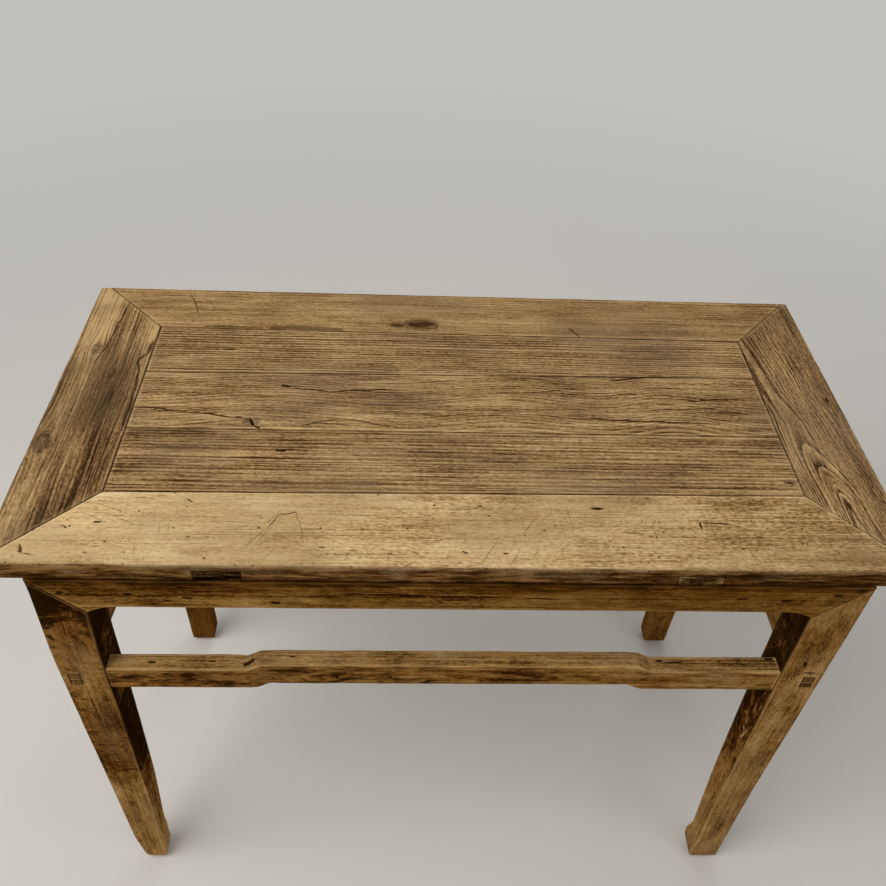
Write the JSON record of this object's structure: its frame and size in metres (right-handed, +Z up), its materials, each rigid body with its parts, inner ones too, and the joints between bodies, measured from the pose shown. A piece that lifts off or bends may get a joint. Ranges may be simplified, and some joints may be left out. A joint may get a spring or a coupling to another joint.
{
  "type": "console table",
  "caption": "Waisted console table with a mitred frame-and-panel top, shaped apron, hump-backed stretchers and horse-hoof feet, in worn old elm.",
  "frame": {"origin": "on the floor, below the middle of the table", "axes": "+X along the length of the top, +Y from the front to the back, +Z up"},
  "size_m": [1, 0.503, 0.797],
  "materials": {
    "elm_pale": "dry, bleached and worn elm, with scratches and dents",
    "elm_tan": "dry worn elm with open grain",
    "elm_grey": "dry weathered elm with knots and cracks",
    "elm_brown": "brushed elm with raised grain",
    "elm_amber": "worn elm with old amber finish and dark stains",
    "elm_dark": "worn elm with remains of a dark finish",
    "elm_raw": "unfinished elm, dusty"
  },
  "bodies": {
    "root": {"top_rail_front": "elm_pale", "top_rail_back": "elm_tan", "top_rail_left": "elm_grey", "top_rail_right": "elm_tan", "panel_board_front": "elm_brown", "panel_board_middle": "elm_brown", "panel_board_back": "elm_brown", "batten_left": "elm_raw", "batten_right": "elm_raw", "waist_front": "elm_dark", "waist_back": "elm_dark", "waist_left": "elm_dark", "waist_right": "elm_dark", "apron_front": "elm_amber", "apron_back": "elm_amber", "apron_left": "elm_amber", "apron_right": "elm_amber", "leg_front_left": "elm_dark", "leg_front_right": "elm_dark", "leg_back_left": "elm_dark", "leg_back_right": "elm_dark", "stretcher_front": "elm_tan", "stretcher_back": "elm_tan", "stretcher_left": "elm_brown", "stretcher_right": "elm_brown", "stretcher_wedges": "elm_pale"}
  },
  "joints": []
}
